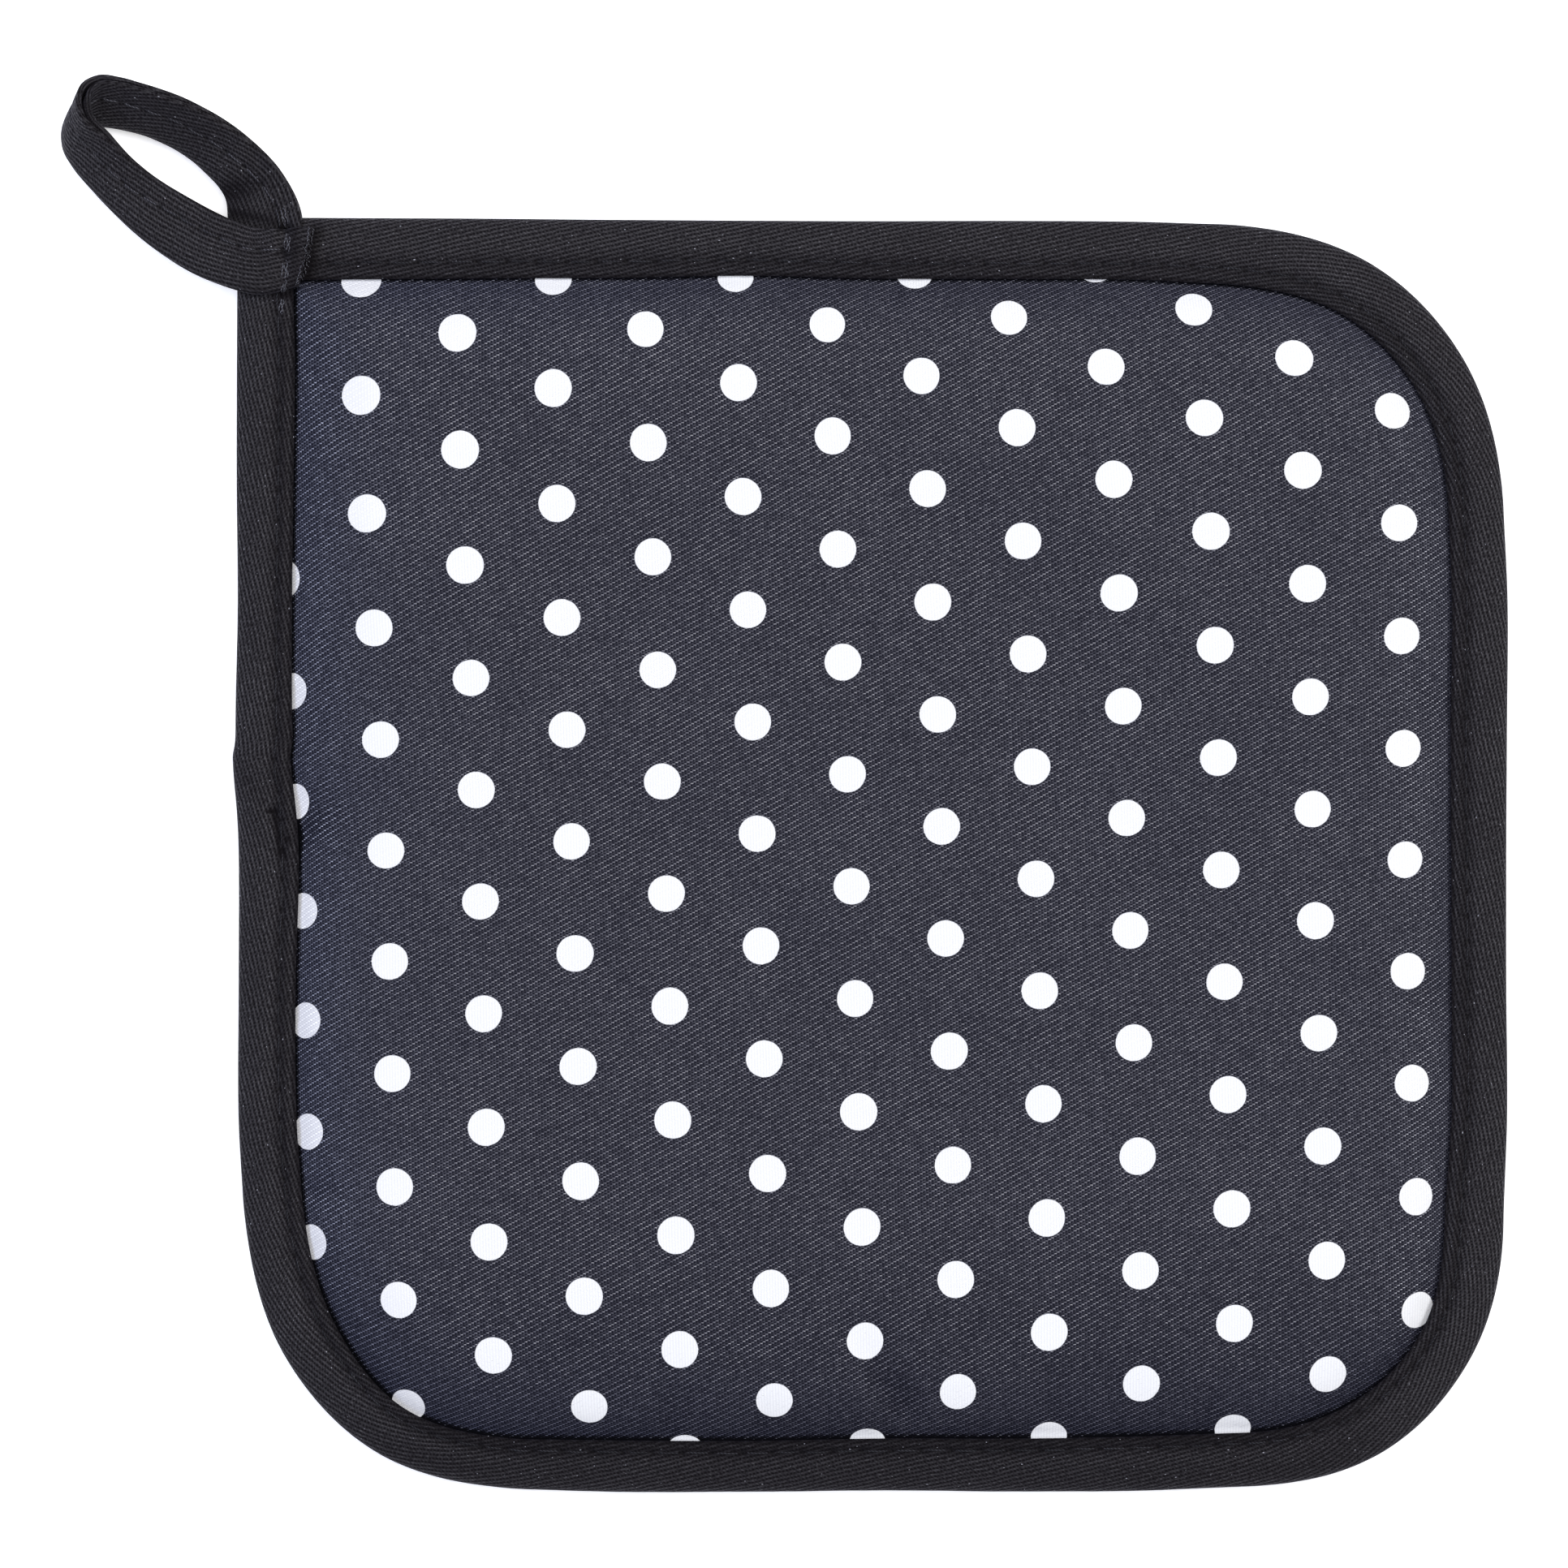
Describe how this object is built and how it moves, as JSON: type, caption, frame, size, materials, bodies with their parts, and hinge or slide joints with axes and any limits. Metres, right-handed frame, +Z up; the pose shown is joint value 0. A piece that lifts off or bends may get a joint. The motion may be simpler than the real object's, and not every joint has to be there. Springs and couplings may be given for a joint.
{
  "type": "pot holder",
  "caption": "Square padded pot holder of white-spotted navy cloth, its edge bound in black twill tape that runs on into a hanging loop at the square corner.",
  "frame": {"origin": "middle of the pad's flat underside, on the surface that it lies on", "axes": "+Z up out of the spotted face, +X and +Y along the pad's sides; the loop leaves the corner at -X +Y"},
  "size_m": [0.2278, 0.2224, 0.0099],
  "materials": {
    "spotted_cloth": "matt navy twill printed with small white spots in a half-drop layout",
    "twill_tape": "matt black cotton twill tape, folded and topstitched in black"
  },
  "bodies": {
    "root": {"panel": "spotted_cloth", "edge_binding": "twill_tape", "hanging_loop": "twill_tape"}
  },
  "joints": []
}
